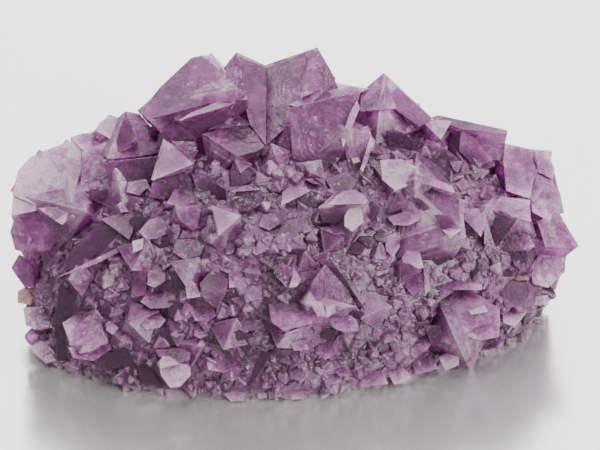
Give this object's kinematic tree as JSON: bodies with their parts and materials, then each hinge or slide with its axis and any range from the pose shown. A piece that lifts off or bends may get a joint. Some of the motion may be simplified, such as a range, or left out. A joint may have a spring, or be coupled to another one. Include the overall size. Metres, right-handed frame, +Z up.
{
  "type": "fluorite octahedral crystal cluster",
  "caption": "Low domed cluster of intergrown violet octahedral crystals, broken off with a flat underside that it rests on.",
  "frame": {"origin": "on the flat underside, under the middle of the cluster's width", "axes": "+X along the cluster's long side, +Z up out of the flat underside, -Y towards the side that is seen in the picture"},
  "size_m": [0.087, 0.0515, 0.0418],
  "materials": {
    "violet_fluorite": "clear to cloudy violet crystal with glossy, finely frosted faces"
  },
  "bodies": {
    "root": {"fluorite_cluster": "violet_fluorite"}
  },
  "joints": []
}
